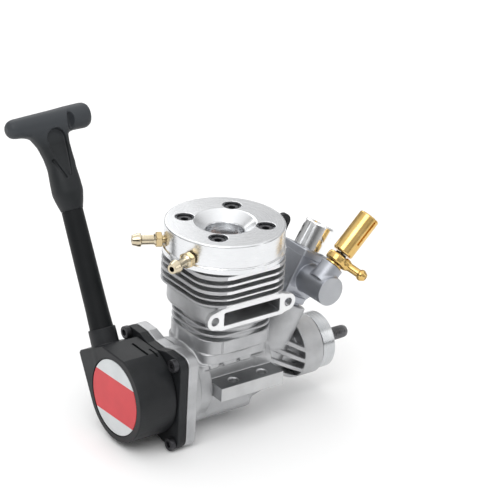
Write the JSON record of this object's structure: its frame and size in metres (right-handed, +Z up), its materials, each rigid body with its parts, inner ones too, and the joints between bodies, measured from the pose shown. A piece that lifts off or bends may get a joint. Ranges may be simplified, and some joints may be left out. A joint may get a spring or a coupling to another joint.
{
  "type": "model glow engine",
  "caption": "Small two-stroke glow engine with a water-cooled head, finned cylinder, rotary-barrel carburettor and a cord recoil starter with a T grip.",
  "frame": {"origin": "centre of the four bearer holes, on the underside plane of the mounting lugs", "axes": "+X towards the output shaft, +Z up along the cylinder, exhaust towards -Y"},
  "size_m": [0.1187, 0.0865, 0.1092],
  "materials": {
    "cast": "as cast, satin, lightly blasted",
    "bright": "turned and polished",
    "carb_cast": "blasted casting, slightly darker",
    "polished_steel": "ground",
    "dark_steel": "oiled steel",
    "black_oxide": "black oxide",
    "brass": "polished",
    "pale_brass": "nickel over brass, polished",
    "copper": "annealed copper",
    "black_plastic": "moulded, fine satin",
    "rubber": "matt",
    "sticker": "printed film",
    "cord": "braided"
  },
  "bodies": {
    "root": {"crankcase": "cast", "backplate": "cast", "cooling_head": "bright", "head_button": "bright", "intake_throat": "bright", "carburettor_body": "carb_cast", "cylinder_liner": "polished_steel", "rear_bearing_outer": "polished_steel", "front_bearing_outer": "polished_steel", "glow_plug": "dark_steel", "recoil_spring": "dark_steel", "head_screw_1": "black_oxide", "head_screw_2": "black_oxide", "head_screw_3": "black_oxide", "head_screw_4": "black_oxide", "starter_screw_1": "black_oxide", "starter_screw_2": "black_oxide", "starter_screw_3": "black_oxide", "starter_screw_4": "black_oxide", "neck_clamp_screw": "black_oxide", "needle_seat": "brass", "fuel_banjo": "brass", "water_nipple_1": "pale_brass", "water_nipple_2": "pale_brass", "head_gasket": "copper", "glow_plug_washer": "copper", "starter_base_plate": "black_plastic", "starter_housing": "black_plastic", "cord_guide_tube": "black_plastic", "neck_sealing_ring": "rubber", "needle_seal": "rubber", "starter_sticker": "sticker", "pull_cord": "cord"},
    "crank_group": {"crankshaft": "dark_steel", "rear_bearing_cage": "brass", "rear_bearing_inner": "polished_steel", "front_bearing_inner": "polished_steel", "hub_collet": "brass", "drive_hub": "bright", "starter_shaft": "dark_steel", "one_way_ring": "dark_steel"},
    "piston_group": {"piston": "bright", "gudgeon_pin": "polished_steel", "pin_clip_1": "dark_steel", "pin_clip_2": "dark_steel"},
    "rod_group": {"connecting_rod": "cast", "big_end_bush": "brass"},
    "grip_group": {"pull_grip": "black_plastic"},
    "reel_group": {"cord_reel": "black_plastic", "cord_winding": "cord", "reel_screw": "dark_steel"},
    "throttle_group": {"throttle_barrel": "brass", "throttle_arm": "black_plastic", "throttle_arm_screw": "dark_steel"},
    "needle_group": {"main_needle": "brass"},
    "idle_screw_group": {"idle_stop_screw": "brass"}
  },
  "joints": [
    {"name": "crank_spin", "type": "hinge", "parent": "root", "child": "crank_group", "pos_m": [-0.00245, 0, 0.0023], "axis": [1, 0, 0], "continuous": true},
    {"name": "piston_slide", "type": "slide", "parent": "root", "child": "piston_group", "axis": [0, 0, 1], "range_m": [-0.012, 0]},
    {"name": "rod_swing", "type": "hinge", "parent": "piston_group", "child": "rod_group", "pos_m": [-0.00245, 0, 0.0365], "axis": [1, 0, 0], "range_deg": [-12.4, 12.4]},
    {"name": "starter_pull", "type": "slide", "parent": "root", "child": "grip_group", "axis": [0, 0.4848, 0.8746], "range_m": [0, 0.25]},
    {"name": "reel_spin", "type": "hinge", "parent": "root", "child": "reel_group", "pos_m": [-0.00245, 0, 0.0023], "axis": [1, 0, 0], "range_deg": [0, 1320]},
    {"name": "throttle_turn", "type": "hinge", "parent": "root", "child": "throttle_group", "pos_m": [0.03213, 0, 0.03361], "axis": [0, 1, 0], "range_deg": [0, 68]},
    {"name": "needle_turn", "type": "hinge", "parent": "root", "child": "needle_group", "pos_m": [0.03122, -0.0152, 0.03601], "axis": [0.7071, 0, 0.7071], "range_deg": [-900, 900]},
    {"name": "idle_screw_turn", "type": "hinge", "parent": "root", "child": "idle_screw_group", "pos_m": [0.03758, 0.0042, 0.02705], "axis": [0.866, 0, -0.5], "range_deg": [-540, 540]}
  ],
  "couplings": [
    {"joint": "reel_spin", "follows": "starter_pull", "rad_per_m": 91.7}
  ]
}
